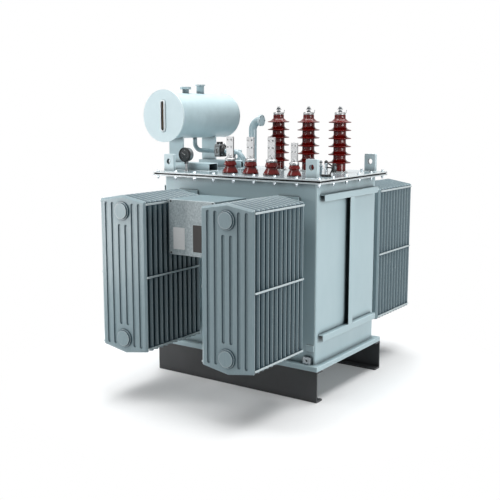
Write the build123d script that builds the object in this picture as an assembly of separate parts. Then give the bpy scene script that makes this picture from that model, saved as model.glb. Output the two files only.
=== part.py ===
import os
from math import atan2, degrees

from build123d import *

os.makedirs("parts", exist_ok=True)

# All lengths are millimetres. X runs along the tank, -Y is the front, Z is up from the floor.

# Underbase
skid_height = 220
skid_flange_width = 78
skid_web_thickness = 9
skid_flange_thickness = 12
base_thickness = 34
base_margin_end = 45
base_margin_side = 52.5

# Tank, its rim and its cover
tank_length = 1330
tank_width = 882
tank_height = 1273
tank_wall_thickness = 6
tank_bend_radius = 12
rim_margin_end = 63.5
rim_margin_side = 72
rim_corner_radius = 4
flange_thickness = 12
gasket_thickness = 8
gasket_inset = 9
cover_thickness = 10

# Stiffening frame on each end wall
frame_margin = 36
frame_depth = 40
frame_bar_height = 46
frame_post_width = 60
frame_sheet_thickness = 6
frame_drop = 113
frame_rise = 185

# Radiators
radiator_inset = 227
panel_width = 408
panel_count = 12
panel_pitch = 52
panel_wall_gap = 142
panel_rim_thickness = 4
panel_swell_depth = 10
panel_bevel_width = 15
panel_corner_radius = 10
panel_rise = 113
panel_drop = 126
panel_ridge_height = 34
flute_width = 26
flute_depth = 7.5
flute_draft = 30
flute_spread = (0.147, 0.441, 0.725)
flute_margin = 18
header_inset = 74
header_radius = 45
header_flange_radius = 75
header_flange_thickness = 16
pad_width = 180
pad_thickness = 18
boss_ring_radius = 61.5
boss_ring_thickness = 10
boss_disc_radius = 52.5
boss_disc_thickness = 10
tie_inset = 20
tie_depth = 8
tie_height = 12

# Cable box between the front radiators
cable_box_clearance = 31
cable_box_depth = 358
cable_box_height = 377
cable_box_drop = 122
cable_box_standoff = 161
cable_box_sheet_thickness = 4
cable_cover_thickness = 5
bracket_width = 40
bracket_thickness = 8
bracket_height = 188
bracket_inset = 58

# Conservator
conservator_overhang = 11.5
conservator_rise = 415
drum_radius = 176
drum_length = 761
drum_sheet_thickness = 5
drum_end_thickness = 8
drum_cover_radius = 200
drum_cover_thickness = 12
drum_cover_front = 366
gauge_width = 46
gauge_height = 240
gauge_depth = 14
gauge_slot_width = 25
filler_y = -90
filler_neck_radius = 26
filler_neck_height = 29
filler_cap_radius = 43
filler_cap_height = 20
stub_y = 98
stub_neck_radius = 31
stub_neck_height = 61
stub_flange_radius = 40
stub_flange_thickness = 10
cradle_y = 210
cradle_width = 140
cradle_thickness = 12
beam_width = 112
beam_height = 58
beam_sheet_thickness = 5
beam_length = 425
beam_overhang = 65

# Gas relay line and relief vent
pipe_radius = 17
relay_drop_offset = 18
relay_rise = 142
relay_bend_radius = 60
relay_offset = 241
relay_length = 55
relay_width = 84
relay_height = 90
relay_corner_radius = 8
relay_lid_thickness = 8
relay_lid_inset = 4
relay_knob_height = 18
relay_knob_offset = 20
relay_knob_radius = 10
relay_cap_radius = 16
coupling_length = 26
coupling_radius = 42
coupling_rim = 5
outlet_run = 74
outlet_bend_radius = 115
outlet_foot_radius = 24
outlet_foot_thickness = 14
vent_clearance = 5
vent_radius = 30
vent_bend_radius = 72
vent_rise = 381
vent_lip = 4
vent_flange_radius = 43
vent_flange_thickness = 8
vent_foot_radius = 40
vent_foot_thickness = 12

# Dial thermometer
thermometer_inset = 173
thermometer_setback = 193
thermometer_rise = 124
dial_radius = 54
dial_depth = 56
dial_rim_width = 6
dial_recess = 4
pocket_radius = 20
pocket_height = 26
pocket_neck_radius = 11

# High voltage bushings
hv_first_x = -62
hv_pitch = 269
hv_count = 3
hv_y = 211
hv_core_radius = 47
hv_shed_radius = 84
hv_shed_count = 6
hv_shed_pitch = 59.3
hv_foot_height = 66
hv_neck_height = 53.5
hv_neck_radius = 42
hv_flange_radius = 62
hv_flange_thickness = 8
hv_cap_radius = 41
hv_cap_height = 20
hv_nut_radius = 15
hv_nut_height = 11
hv_washer_radius = 20
hv_stud_radius = 8
hv_stud_height = 64

# Low voltage bushings: three phases and a smaller neutral
lv_y = -315
lv_first_x = -147
lv_pitch = 181
lv_phase_count = 3
lv_neutral_gap = 190
lv_neutral_scale = 0.86
lv_base_radius = 59
lv_height = 92
lv_cap_height = 20
palm_width = 60
palm_thickness = 14
palm_height = 155
palm_corner_radius = 5
palm_hole_radius = 7
palm_hole_across = 30
palm_hole_up = 52
palm_hole_drop = 24
palm_socket_radius = 19
palm_socket_height = 21

# Lifting lugs, tap changer drive, bleed plug and earth terminals
lug_inset_end = 106.5
lug_inset_side = 77
lug_width = 88
lug_height = 132
lug_thickness = 30
lug_corner_radius = 8
lug_eye_radius = 21
lug_eye_height = 76
tap_inset = 131.5
tap_y = -205
tap_flange_radius = 42
tap_flange_thickness = 10
tap_post_radius = 9
tap_post_height = 112
tap_stem_radius = 6
tap_stem_height = 62
tap_stem_length = 63
tap_lever_length = 62
tap_lever_width = 12
wheel_radius = 32
wheel_rim_radius = 4
wheel_hub_radius = 11
wheel_hub_length = 16
wheel_spoke_width = 7
plug_inset = 205
plug_y = -150
plug_stem_radius = 9
plug_stem_height = 60
plug_collar_radius = 16
plug_collar_height = 14
plug_tip_radius = 8
plug_tip_height = 32
earth_inset = 55
earth_width = 62
earth_height = 54
earth_thickness = 26
earth_hole_radius = 6.5

# Places that follow from the values above
base_length = tank_length + 2 * base_margin_end
base_width = tank_width + 2 * base_margin_side
cover_length = tank_length + 2 * rim_margin_end
cover_width = tank_width + 2 * rim_margin_side
base_top = skid_height + base_thickness
rim_top = base_top + tank_height
cover_low = rim_top + gasket_thickness
cover_top = cover_low + cover_thickness
tank_end = tank_length / 2
tank_front = tank_width / 2
radiator_offset = tank_end - radiator_inset
panel_face = panel_rim_thickness / 2 + panel_swell_depth
panel_low = base_top + panel_rise
panel_high = rim_top - panel_drop
panel_inner = tank_front + panel_wall_gap
panel_reach = panel_inner + (panel_count - 1) * panel_pitch
header_levels = (panel_low + header_inset, panel_high - header_inset)
tie_levels = (panel_low + tie_inset, (panel_low + panel_high) / 2, panel_high - tie_inset)
conservator_x = -cover_length / 2 - conservator_overhang
conservator_z = cover_top + conservator_rise
drum_top = conservator_z + drum_radius
beam_top = cover_top + beam_height
relay_left = conservator_x + relay_offset
relay_right = relay_left + relay_length
relay_z = cover_top + relay_rise
outlet_x = relay_right + coupling_length + outlet_run + outlet_bend_radius
vent_x = outlet_x + outlet_foot_radius + vent_clearance + vent_foot_radius
vent_z = cover_top + vent_rise
thermometer_x = thermometer_inset - cover_length / 2
thermometer_y = thermometer_setback - cover_width / 2
dial_z = cover_top + thermometer_rise
tap_x = cover_length / 2 - tap_inset
wheel_x = tap_x + tap_stem_length
plug_x = cover_length / 2 - plug_inset

# The sizes above are taken from the middle of the tank; the origin is the middle of the whole footprint
footprint_left = conservator_x - drum_cover_radius
footprint_right = cover_length / 2
to_origin = Pos(-(footprint_left + footprint_right) / 2, 0, 0)


def save(name, *solids):
    """Write one named piece, made of one solid or of like solids that stand apart."""
    moved = [to_origin * solid for solid in solids]
    shape = moved[0] if len(moved) == 1 else Compound(children=moved)
    export_step(shape, f"parts/{name}.step")


def block(x_low, x_high, y_low, y_high, z_low, z_high):
    """A rectangular block between two opposite corners."""
    middle = Pos((x_low + x_high) / 2, (y_low + y_high) / 2, (z_low + z_high) / 2)
    return middle * Box(x_high - x_low, y_high - y_low, z_high - z_low)


def upright(x, y, z_low, z_high, radius):
    """A round bar standing on its end."""
    return Pos(x, y, (z_low + z_high) / 2) * Cylinder(radius, z_high - z_low)


def along_y(x, z, y_low, y_high, radius):
    """A round bar lying front to back."""
    turned = Rot(90, 0, 0) * Cylinder(radius, y_high - y_low)
    return Pos(x, (y_low + y_high) / 2, z) * turned


def along_x(y, z, x_low, x_high, radius):
    """A round bar lying along the tank."""
    turned = Rot(0, 90, 0) * Cylinder(radius, x_high - x_low)
    return Pos((x_low + x_high) / 2, y, z) * turned


def turned_part(points):
    """A solid of revolution about Z from its outline of radius and height."""
    outline = make_face(Polyline(*[(r, 0, z) for r, z in points], close=True))
    return revolve(outline, Axis.Z)


def to_back(shape):
    """The same piece seen from the other side of the tank."""
    return mirror(shape, Plane.XZ)


def to_left(shape):
    """The same piece seen from the other end of the tank."""
    return mirror(shape, Plane.YZ)


# Underbase: two channels with their webs outward, and the plate they carry
web_outside = base_width / 2
channel = [
    (-web_outside, 0),
    (skid_flange_width - web_outside, 0),
    (skid_flange_width - web_outside, skid_flange_thickness),
    (skid_web_thickness - web_outside, skid_flange_thickness),
    (skid_web_thickness - web_outside, skid_height - skid_flange_thickness),
    (skid_flange_width - web_outside, skid_height - skid_flange_thickness),
    (skid_flange_width - web_outside, skid_height),
    (-web_outside, skid_height),
]
channel_face = make_face(Polyline(*[(0, y, z) for y, z in channel], close=True))
skid = extrude(channel_face, base_length / 2, dir=(1, 0, 0), both=True)
save("skid_beams", skid, to_back(skid))
save(
    "base_plate",
    block(-base_length / 2, base_length / 2, -web_outside, web_outside, skid_height, base_top),
)

# Tank: flat front and back sheets between two end sheets that are bent round the corners
front_sheet = block(
    tank_bend_radius - tank_end,
    tank_end - tank_bend_radius,
    -tank_front,
    tank_wall_thickness - tank_front,
    base_top,
    rim_top,
)
save("tank_wall_front", front_sheet)
save("tank_wall_back", to_back(front_sheet))
tank_outline = RectangleRounded(tank_length, tank_width, tank_bend_radius)
tank_bore = RectangleRounded(
    tank_length - 2 * tank_wall_thickness,
    tank_width - 2 * tank_wall_thickness,
    tank_bend_radius - tank_wall_thickness,
)
tank_tube = Pos(0, 0, base_top) * extrude(tank_outline - tank_bore, tank_height)
right_sheet = tank_tube & block(
    tank_end - tank_bend_radius, tank_end, -tank_front, tank_front, base_top, rim_top
)
save("tank_wall_right", right_sheet)
save("tank_wall_left", to_left(right_sheet))

# Rim flange, gasket and cover
cover_outline = RectangleRounded(cover_length, cover_width, rim_corner_radius)
gasket_outline = Rectangle(cover_length - 2 * gasket_inset, cover_width - 2 * gasket_inset)
rim = extrude(cover_outline - tank_outline, flange_thickness)
save("tank_flange", Pos(0, 0, rim_top - flange_thickness) * rim)
gasket = extrude(gasket_outline - tank_bore, gasket_thickness)
save("cover_gasket", Pos(0, 0, rim_top) * gasket)
save("cover", Pos(0, 0, cover_low) * extrude(cover_outline, cover_thickness))


# End stiffening in angle iron: two level rails, open downward, and a post between them, open to the front
frame_outer = tank_end + frame_depth
leg_inner = frame_outer - frame_sheet_thickness
frame_levels = (base_top + frame_rise, rim_top - frame_drop)
frame_half = tank_front - frame_margin
bar_half = frame_bar_height / 2
rail_section = [
    (tank_end, bar_half),
    (frame_outer, bar_half),
    (frame_outer, -bar_half),
    (leg_inner, -bar_half),
    (leg_inner, bar_half - frame_sheet_thickness),
    (tank_end, bar_half - frame_sheet_thickness),
]
rail_face = make_face(Polyline(*[(x, frame_half, z) for x, z in rail_section], close=True))
rail = extrude(rail_face, 2 * frame_half, dir=(0, -1, 0))
rails = [Pos(0, 0, z) * rail for z in frame_levels]
post_half = frame_post_width / 2
post_section = [
    (tank_end, post_half),
    (frame_outer, post_half),
    (frame_outer, -post_half),
    (leg_inner, -post_half),
    (leg_inner, post_half - frame_sheet_thickness),
    (tank_end, post_half - frame_sheet_thickness),
]
post_low = frame_levels[0] + bar_half
post_face = make_face(Polyline(*[(x, y, post_low) for x, y in post_section], close=True))
post = extrude(post_face, frame_levels[1] - bar_half - post_low, dir=(0, 0, 1))
save("end_rails", *rails, *[to_left(part) for part in rails])
save("end_posts", post, to_left(post))


def panel_outline():
    """The six-sided outline of a radiator panel with roof-shaped ends."""
    half = panel_width / 2
    points = [
        (-half, panel_low),
        (0, panel_low - panel_ridge_height),
        (half, panel_low),
        (half, panel_high),
        (0, panel_high + panel_ridge_height),
        (-half, panel_high),
    ]
    face = make_face(Polyline(*points, close=True))
    corners = [corner for corner in face.vertices() if abs(corner.X) > half / 2]
    return fillet(corners, panel_corner_radius)


def flute_outline(spread, round_ends):
    """One pressed flute: the middle pair stop short of the headers."""
    inner = spread == flute_spread[0]
    stop = boss_ring_radius + flute_margin + flute_width / 2
    z_low = header_levels[0] + stop if inner else panel_low + flute_margin
    z_high = header_levels[1] - stop if inner else panel_high - flute_margin
    centre = Pos(spread * panel_width / 2, (z_low + z_high) / 2)
    if round_ends:
        return centre * Rot(0, 0, 90) * SlotOverall(z_high - z_low, flute_width)
    half = (z_high - z_low) / 2
    side = flute_width / 2
    points = [
        (-side, side - half),
        (0, -half),
        (side, side - half),
        (side, half - side),
        (0, half),
        (-side, half - side),
    ]
    return centre * make_face(Polyline(*points, close=True))


def radiator_panel(round_ends):
    """A panel pressed from two sheets: welded rim, bevelled swell and flutes on both faces."""
    outline = panel_outline()
    bevel_angle = degrees(atan2(panel_bevel_width, panel_swell_depth))
    rim_half = panel_rim_thickness / 2
    swell = extrude(Pos(0, 0, rim_half) * outline, panel_swell_depth, taper=bevel_angle)
    for spread in flute_spread:
        flute = Pos(0, 0, panel_face) * flute_outline(spread, round_ends)
        tool = extrude(flute, flute_depth, dir=(0, 0, -1), taper=flute_draft)
        swell -= tool
        swell -= to_left(tool)
    panel = extrude(outline, rim_half, both=True)
    panel += swell
    panel += mirror(swell, Plane.XY)
    for z in header_levels:
        panel -= Pos(0, z, 0) * Cylinder(header_radius, 4 * panel_face)
    return Rot(90, 0, 0) * panel


inner_panel = radiator_panel(False)
outer_panel = radiator_panel(True)
outer_face = panel_reach + panel_face
pad_face = tank_front + pad_thickness


def radiator_header(x, z):
    """The pipe that carries the panels, from its wall flange to its capped front end."""
    header = along_y(x, z, -outer_face, -pad_face, header_radius)
    header += along_y(x, z, -pad_face - header_flange_thickness, -pad_face, header_flange_radius)
    ring_face = outer_face + boss_ring_thickness
    header += along_y(x, z, -ring_face, -outer_face, boss_ring_radius)
    header += along_y(x, z, -ring_face - boss_disc_thickness, -ring_face, boss_disc_radius)
    return header


def tie_bar(x_low, z):
    """A flat bar welded across the rims of all the panels of one radiator."""
    rim_half = panel_rim_thickness / 2
    return block(
        x_low,
        x_low + tie_depth,
        -panel_reach - rim_half,
        -panel_inner + rim_half,
        z - tie_height / 2,
        z + tie_height / 2,
    )


headers = []
ties = []
pads = []
pad_half = pad_width / 2
for side_name, x in (("left", -radiator_offset), ("right", radiator_offset)):
    front_panels = [Pos(x, -panel_reach, 0) * outer_panel]
    back_panels = [Pos(x, panel_reach, 0) * outer_panel]
    for index in range(panel_count - 1):
        reach = panel_inner + index * panel_pitch
        front_panels.append(Pos(x, -reach, 0) * inner_panel)
        back_panels.append(Pos(x, reach, 0) * inner_panel)
    save(f"radiator_front_{side_name}_panels", *front_panels)
    save(f"radiator_back_{side_name}_panels", *back_panels)
    for z in header_levels:
        header = radiator_header(x, z)
        headers += [header, to_back(header)]
        pad = block(x - pad_half, x + pad_half, -pad_face, -tank_front, z - pad_half, z + pad_half)
        pads += [pad, to_back(pad)]
    for z in tie_levels:
        for x_low in (x - panel_width / 2 - tie_depth, x + panel_width / 2):
            tie = tie_bar(x_low, z)
            ties += [tie, to_back(tie)]
save("radiator_headers", *headers)
save("radiator_tie_bars", *ties)
save("radiator_pads", *pads)

# Cable box: a folded housing with a bolted front, held off the tank wall by two brackets
box_half = radiator_offset - panel_width / 2 - tie_depth - cable_box_clearance
box_back = tank_front + cable_box_standoff
box_front = box_back + cable_box_depth
box_high = rim_top - cable_box_drop
box_low = box_high - cable_box_height
housing = block(-box_half, box_half, -box_front, -box_back, box_low, box_high)
housing -= block(
    cable_box_sheet_thickness - box_half,
    box_half - cable_box_sheet_thickness,
    -box_front,
    -box_back - cable_box_sheet_thickness,
    box_low + cable_box_sheet_thickness,
    box_high - cable_box_sheet_thickness,
)
save("cable_box", housing)
save(
    "cable_box_front",
    block(-box_half, box_half, -box_front - cable_cover_thickness, -box_front, box_low, box_high),
)
box_middle = (box_low + box_high) / 2
bracket_edge = box_half - bracket_inset
bracket_channel = [
    (bracket_edge, -box_back),
    (bracket_edge + bracket_width, -box_back),
    (bracket_edge + bracket_width, bracket_thickness - box_back),
    (bracket_edge + bracket_thickness, bracket_thickness - box_back),
    (bracket_edge + bracket_thickness, -tank_front - bracket_thickness),
    (bracket_edge + bracket_width, -tank_front - bracket_thickness),
    (bracket_edge + bracket_width, -tank_front),
    (bracket_edge, -tank_front),
]
bracket = extrude(make_face(Polyline(*bracket_channel, close=True)), bracket_height / 2, both=True)
bracket = Pos(0, 0, box_middle) * bracket
save("cable_box_brackets", bracket, to_left(bracket))

# Conservator: a rolled drum with a welded back end and a wider front cover
drum_front = drum_cover_thickness - drum_cover_front
drum_back = drum_front + drum_length
shell_back = drum_back - drum_end_thickness
drum_solid = along_y(conservator_x, conservator_z, drum_front, drum_back, drum_radius)
drum = along_y(conservator_x, conservator_z, drum_front, shell_back, drum_radius)
drum -= along_y(conservator_x, conservator_z, drum_front, shell_back, drum_radius - drum_sheet_thickness)
save("conservator_drum", drum)
save(
    "conservator_front_cover",
    along_y(conservator_x, conservator_z, -drum_cover_front, drum_front, drum_cover_radius),
)
save(
    "conservator_back_end",
    along_y(conservator_x, conservator_z, shell_back, drum_back, drum_radius),
)

# Oil gauge on the front cover: a round-ended frame with a sunk slot
gauge_plane = Plane(
    origin=(conservator_x, -drum_cover_front, conservator_z), x_dir=(1, 0, 0), z_dir=(0, -1, 0)
)
gauge_frame = Rot(0, 0, 90) * SlotOverall(gauge_height, gauge_width)
gauge_window = Rot(0, 0, 90) * SlotOverall(gauge_height - gauge_width + gauge_slot_width, gauge_slot_width)
gauge = extrude(gauge_plane * gauge_frame, gauge_depth)
gauge -= extrude(gauge_plane.offset(gauge_depth) * gauge_window, -gauge_depth / 2)
save("oil_gauge", gauge)

# Filler cap and breather stub on top of the drum
cap_low = drum_top + filler_neck_height
filler = upright(conservator_x, filler_y, conservator_z, cap_low, filler_neck_radius)
filler += upright(conservator_x, filler_y, cap_low, cap_low + filler_cap_height, filler_cap_radius)
save("filler_cap", filler - drum_solid)
stub_high = drum_top + stub_neck_height
stub = upright(conservator_x, stub_y, conservator_z, stub_high, stub_neck_radius)
stub += upright(conservator_x, stub_y, stub_high, stub_high + stub_flange_thickness, stub_flange_radius)
save("breather_stub", stub - drum_solid)

# Cradles and the hollow beams that they stand on
beam_left = conservator_x - beam_overhang
beam_right = beam_left + beam_length
beam_half = beam_width / 2
cradles = []
beams = []
for y in (-cradle_y, cradle_y):
    plate = block(
        conservator_x - cradle_width / 2,
        conservator_x + cradle_width / 2,
        y - cradle_thickness / 2,
        y + cradle_thickness / 2,
        beam_top,
        conservator_z,
    )
    cradles.append(plate - drum_solid)
    beam = block(beam_left, beam_right, y - beam_half, y + beam_half, cover_top, beam_top)
    beam -= block(
        beam_left,
        beam_right,
        y - beam_half + beam_sheet_thickness,
        y + beam_half - beam_sheet_thickness,
        cover_top + beam_sheet_thickness,
        beam_top - beam_sheet_thickness,
    )
    beams.append(beam)
save("conservator_cradles", *cradles)
save("conservator_beams", *beams)


def swept_pipe(points, bend, radius):
    """A round pipe along a level or upright run with one rounded elbow."""
    start, corner, end = (Vector(*point) for point in points)
    path = FilletPolyline(start, corner, end, radius=bend)
    section = Plane(origin=start, z_dir=corner - start) * Circle(radius)
    return sweep(section, path=path)


# Gas relay line from the drum down to the cover, with a flared coupling on each side of the relay
flare = turned_part(
    [
        (0, 0),
        (pipe_radius, 0),
        (coupling_radius, coupling_length - coupling_rim),
        (coupling_radius, coupling_length),
        (0, coupling_length),
    ]
)
drop_x = conservator_x + relay_drop_offset
inlet_end = relay_left - coupling_length
drop = swept_pipe(
    ((drop_x, 0, conservator_z), (drop_x, 0, relay_z), (inlet_end, 0, relay_z)),
    relay_bend_radius,
    pipe_radius,
)
drop += Pos(inlet_end, 0, relay_z) * Rot(0, 90, 0) * flare
save("relay_pipe_upper", drop - drum_solid)
relay_half = relay_width / 2
relay_top = relay_z + relay_height / 2
relay = block(relay_left, relay_right, -relay_half, relay_half, relay_top - relay_height, relay_top)
relay = fillet(relay.edges().filter_by(Axis.Z), relay_corner_radius)
lid_top = relay_top + relay_lid_thickness
relay += block(
    relay_left + relay_lid_inset,
    relay_right - relay_lid_inset,
    relay_lid_inset - relay_half,
    relay_half - relay_lid_inset,
    relay_top,
    lid_top,
)
save("gas_relay", relay)
relay_x = (relay_left + relay_right) / 2
vent_knob = upright(relay_x, -relay_knob_offset, lid_top, lid_top + relay_knob_height, relay_cap_radius)
test_knob = upright(relay_x, relay_knob_offset, lid_top, lid_top + relay_knob_height, relay_knob_radius)
save("gas_relay_knobs", vent_knob, test_knob)
outlet_start = relay_right + coupling_length
outlet = swept_pipe(
    ((outlet_start, 0, relay_z), (outlet_x, 0, relay_z), (outlet_x, 0, cover_top)),
    outlet_bend_radius,
    pipe_radius,
)
outlet += Pos(outlet_start, 0, relay_z) * Rot(0, -90, 0) * flare
outlet += upright(outlet_x, 0, cover_top, cover_top + outlet_foot_thickness, outlet_foot_radius)
save("relay_pipe_lower", outlet)

# Relief vent: a standing pipe with an elbow and a blanked flange
vent_end = vent_x + vent_bend_radius + vent_lip
vent = swept_pipe(
    ((vent_x, 0, cover_top), (vent_x, 0, vent_z), (vent_end, 0, vent_z)), vent_bend_radius, vent_radius
)
vent += upright(vent_x, 0, cover_top, cover_top + vent_foot_thickness, vent_foot_radius)
vent += along_x(0, vent_z, vent_end - vent_flange_thickness, vent_end, vent_flange_radius)
save("relief_vent", vent)
save(
    "relief_vent_plate",
    along_x(0, vent_z, vent_end, vent_end + vent_flange_thickness, vent_flange_radius),
)

# Dial thermometer on its pocket
pocket_top = cover_top + pocket_height
neck_top = dial_z - dial_radius + dial_rim_width
dial_front = thermometer_y - dial_depth / 2
thermometer = upright(thermometer_x, thermometer_y, cover_top, pocket_top, pocket_radius)
thermometer += upright(thermometer_x, thermometer_y, pocket_top, neck_top, pocket_neck_radius)
thermometer += along_y(thermometer_x, dial_z, dial_front, dial_front + dial_depth, dial_radius)
thermometer -= along_y(
    thermometer_x, dial_z, dial_front, dial_front + dial_recess, dial_radius - dial_rim_width
)
save("dial_thermometer", thermometer)

# High voltage bushings: a straight core with thin sheds that flare out of it
hv_low = cover_top + hv_flange_thickness
hv_height = hv_foot_height + (hv_shed_count - 1) * hv_shed_pitch + hv_neck_height
shed_reach = hv_shed_radius - hv_core_radius
hv_points = [(0, 0), (hv_core_radius, 0)]
for index in range(hv_shed_count):
    z = hv_foot_height + index * hv_shed_pitch
    top = index == hv_shed_count - 1
    core = hv_neck_radius if top else hv_core_radius
    hv_points += [
        (hv_core_radius, z - 9),
        (hv_shed_radius - 5, z - 5),
        (hv_shed_radius, z - 1),
        (hv_shed_radius - 1, z + 3),
        (hv_core_radius + 0.45 * shed_reach, z + 8),
        (hv_core_radius + 0.15 * shed_reach, z + 16),
        (core, z + 27),
    ]
hv_points += [(hv_neck_radius, hv_height - 4), (hv_neck_radius - 4, hv_height), (0, hv_height)]
hv_porcelain = turned_part(hv_points)
hv_flange = turned_part(
    [
        (0, 0),
        (hv_flange_radius, 0),
        (hv_flange_radius, hv_flange_thickness - 2),
        (hv_flange_radius - 2, hv_flange_thickness),
        (0, hv_flange_thickness),
    ]
)
lower_nut = hv_cap_height + hv_nut_height
upper_nut = hv_stud_height - 10 - hv_nut_height
hv_terminal = turned_part(
    [
        (0, 0),
        (hv_cap_radius, 0),
        (hv_cap_radius, hv_cap_height - 5),
        (hv_cap_radius - 7, hv_cap_height),
        (hv_nut_radius, hv_cap_height),
        (hv_nut_radius, lower_nut),
        (hv_stud_radius, lower_nut),
        (hv_stud_radius, upper_nut - 4),
        (hv_washer_radius, upper_nut - 4),
        (hv_washer_radius, upper_nut),
        (hv_nut_radius, upper_nut),
        (hv_nut_radius, upper_nut + hv_nut_height),
        (hv_stud_radius, upper_nut + hv_nut_height),
        (hv_stud_radius, hv_stud_height),
        (0, hv_stud_height),
    ]
)
hv_places = [Pos(hv_first_x + index * hv_pitch, hv_y) for index in range(hv_count)]
hv_top = hv_low + hv_height
save("hv_bushing_flanges", *[place * Pos(0, 0, cover_top) * hv_flange for place in hv_places])
save("hv_porcelains", *[place * Pos(0, 0, hv_low) * hv_porcelain for place in hv_places])
save("hv_terminals", *[place * Pos(0, 0, hv_top) * hv_terminal for place in hv_places])

# Low voltage bushings: two-tier porcelain, a metal cap, and a drilled palm on a round socket
lv_columns = [(lv_first_x + index * lv_pitch, 1.0) for index in range(lv_phase_count)]
lv_columns.append((lv_columns[-1][0] + lv_neutral_gap, lv_neutral_scale))
porcelains = []
caps = []
palms = []
for x, scale in lv_columns:
    base = lv_base_radius * scale
    tall = lv_height * scale
    place = Pos(x, lv_y, cover_top)
    outline = [
        (0, 0),
        (base, 0),
        (base, 0.08 * tall),
        (0.96 * base, 0.18 * tall),
        (0.68 * base, 0.5 * tall),
        (0.65 * base, 0.56 * tall),
        (0.72 * base, 0.6 * tall),
        (0.8 * base, 0.64 * tall),
        (0.8 * base, 0.7 * tall),
        (0.75 * base, 0.8 * tall),
        (0.65 * base, 0.95 * tall),
        (0.62 * base, tall),
        (0, tall),
    ]
    porcelains.append(place * turned_part(outline))
    cap_top = tall + lv_cap_height
    cap = turned_part(
        [
            (0, tall),
            (0.67 * base, tall),
            (0.67 * base, cap_top - 6),
            (0.56 * base, cap_top),
            (0, cap_top),
        ]
    )
    caps.append(place * cap)
    palm_low = cover_top + cap_top
    palm_top = palm_low + palm_height * scale
    half = palm_width * scale / 2
    palm_back = lv_y + palm_thickness / 2
    palm = block(x - half, x + half, palm_back - palm_thickness, palm_back, palm_low, palm_top)
    palm = fillet(palm.edges().filter_by(Axis.Y).group_by(Axis.Z)[-1], palm_corner_radius)
    socket_radius = palm_socket_radius * scale
    socket_top = palm_low + palm_socket_height * scale
    palm += upright(x, lv_y, palm_low, socket_top, socket_radius)
    palm += Pos(x, lv_y, socket_top) * Sphere(socket_radius, arc_size1=0)
    for side in (-1, 1):
        for drop_down in (palm_hole_drop, palm_hole_drop + palm_hole_up):
            hole_x = x + side * scale * palm_hole_across / 2
            hole_z = palm_top - scale * drop_down
            palm -= along_y(hole_x, hole_z, palm_back - palm_thickness, palm_back, palm_hole_radius)
    palms.append(palm)
save("lv_porcelains", *porcelains)
save("lv_caps", *caps)
save("lv_palms", *palms)

# Lifting lugs at the four corners of the cover
lug_x = cover_length / 2 - lug_inset_end
lug_y = cover_width / 2 - lug_inset_side
lugs = []
for x in (-lug_x, lug_x):
    for y in (-lug_y, lug_y):
        y_low = y - lug_thickness / 2
        y_high = y + lug_thickness / 2
        lug = block(x - lug_width / 2, x + lug_width / 2, y_low, y_high, cover_top, cover_top + lug_height)
        lug = fillet(lug.edges().filter_by(Axis.Y).group_by(Axis.Z)[-1], lug_corner_radius)
        lugs.append(lug - along_y(x, cover_top + lug_eye_height, y_low, y_high, lug_eye_radius))
save("lifting_lugs", *lugs)

# Tap changer drive: a post on a round foot, a lever on its head and a stem for the hand wheel
stem_z = cover_top + tap_stem_height
post_top = cover_top + tap_post_height
hub_half = wheel_hub_length / 2
drive = upright(tap_x, tap_y, cover_top, cover_top + tap_flange_thickness, tap_flange_radius)
drive += upright(tap_x, tap_y, cover_top, post_top, tap_post_radius)
drive += along_x(tap_y, stem_z, tap_x, wheel_x - hub_half, tap_stem_radius)
lever = Box(tap_lever_length, tap_lever_width, tap_lever_width)
drive += Pos(tap_x + tap_lever_length / 4, tap_y, post_top - tap_lever_width / 2) * lever
save("tap_changer_drive", drive)
wheel = Torus(wheel_radius, wheel_rim_radius)
wheel += Cylinder(wheel_hub_radius, wheel_hub_length)
for angle in (0, 60, 120):
    wheel += Rot(0, 0, angle) * Box(2 * wheel_radius, wheel_spoke_width, wheel_spoke_width)
save("tap_changer_wheel", Pos(wheel_x, tap_y, stem_z) * Rot(0, 90, 0) * wheel)

# Bleed plug beside the lifting lug
collar_low = cover_top + plug_stem_height
collar_top = collar_low + plug_collar_height
plug = upright(plug_x, plug_y, cover_top, collar_low, plug_stem_radius)
plug += upright(plug_x, plug_y, collar_low, collar_top, plug_collar_radius)
plug += upright(plug_x, plug_y, collar_top, collar_top + plug_tip_height, plug_tip_radius)
save("bleed_plug", plug)

# Earth terminals at the foot of the front and back walls
earth_x = tank_end - earth_inset
earth = block(
    earth_x - earth_width / 2,
    earth_x + earth_width / 2,
    -tank_front - earth_thickness,
    -tank_front,
    base_top,
    base_top + earth_height,
)
earth_middle = base_top + earth_height / 2
earth -= along_y(earth_x, earth_middle, -tank_front - earth_thickness, -tank_front, earth_hole_radius)
save("earth_terminals", earth, Rot(0, 0, 180) * earth)
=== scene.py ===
from math import cos, radians, sin, sqrt, tau

import bmesh
import bpy
from mathutils import Matrix, Vector


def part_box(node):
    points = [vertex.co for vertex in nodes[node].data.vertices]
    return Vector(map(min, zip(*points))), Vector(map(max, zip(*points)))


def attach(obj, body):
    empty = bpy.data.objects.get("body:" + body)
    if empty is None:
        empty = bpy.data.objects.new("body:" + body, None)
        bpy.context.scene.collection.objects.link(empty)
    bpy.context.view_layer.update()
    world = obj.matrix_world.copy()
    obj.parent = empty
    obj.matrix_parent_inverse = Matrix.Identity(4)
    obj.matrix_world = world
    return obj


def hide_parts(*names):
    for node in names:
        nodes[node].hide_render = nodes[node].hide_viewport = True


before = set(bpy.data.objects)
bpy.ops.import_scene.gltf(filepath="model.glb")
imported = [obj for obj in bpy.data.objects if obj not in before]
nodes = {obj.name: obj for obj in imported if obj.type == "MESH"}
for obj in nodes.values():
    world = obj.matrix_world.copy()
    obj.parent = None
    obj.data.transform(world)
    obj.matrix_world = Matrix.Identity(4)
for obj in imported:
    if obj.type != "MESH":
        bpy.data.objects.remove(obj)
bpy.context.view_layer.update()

# Places are metres, worked out from the CAD boxes. Sizes of small parts are millimetres.
MM = 0.001
X, Y, Z = 0, 1, 2
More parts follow.
